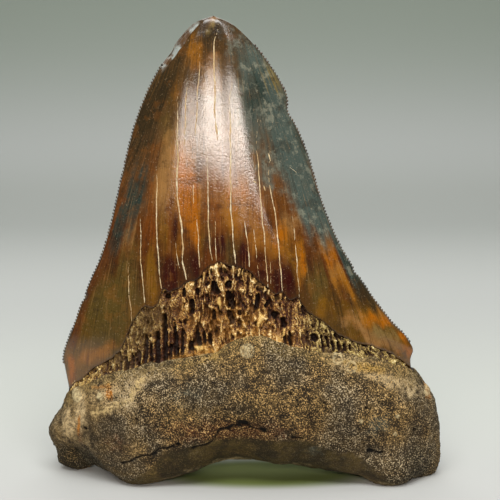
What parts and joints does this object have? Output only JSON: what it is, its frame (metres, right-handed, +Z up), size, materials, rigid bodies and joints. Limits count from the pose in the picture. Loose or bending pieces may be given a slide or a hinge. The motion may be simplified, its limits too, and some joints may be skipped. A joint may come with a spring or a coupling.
{
  "type": "megalodon tooth",
  "caption": "Large fossil shark tooth: a glossy triangular crown with fine serrated edges, a pitted neck band and a thick two-lobed root that it stands on.",
  "frame": {"origin": "on the ground, under the middle of the tooth's box", "axes": "+Z up from the root's feet to the tip, -Y out of the tongue side with the neck band, +X to the right seen from that side"},
  "size_m": [0.1042, 0.0264, 0.1196],
  "materials": {
    "enamel": "polished mineralised enamel, amber and brown with slate blue, glossy",
    "neck_band": "fibrous, pitted, dry matt",
    "root": "grainy, dry matt",
    "crack_fill": "pale mineral, matt"
  },
  "bodies": {
    "root": {"tooth": "enamel"}
  },
  "joints": []
}
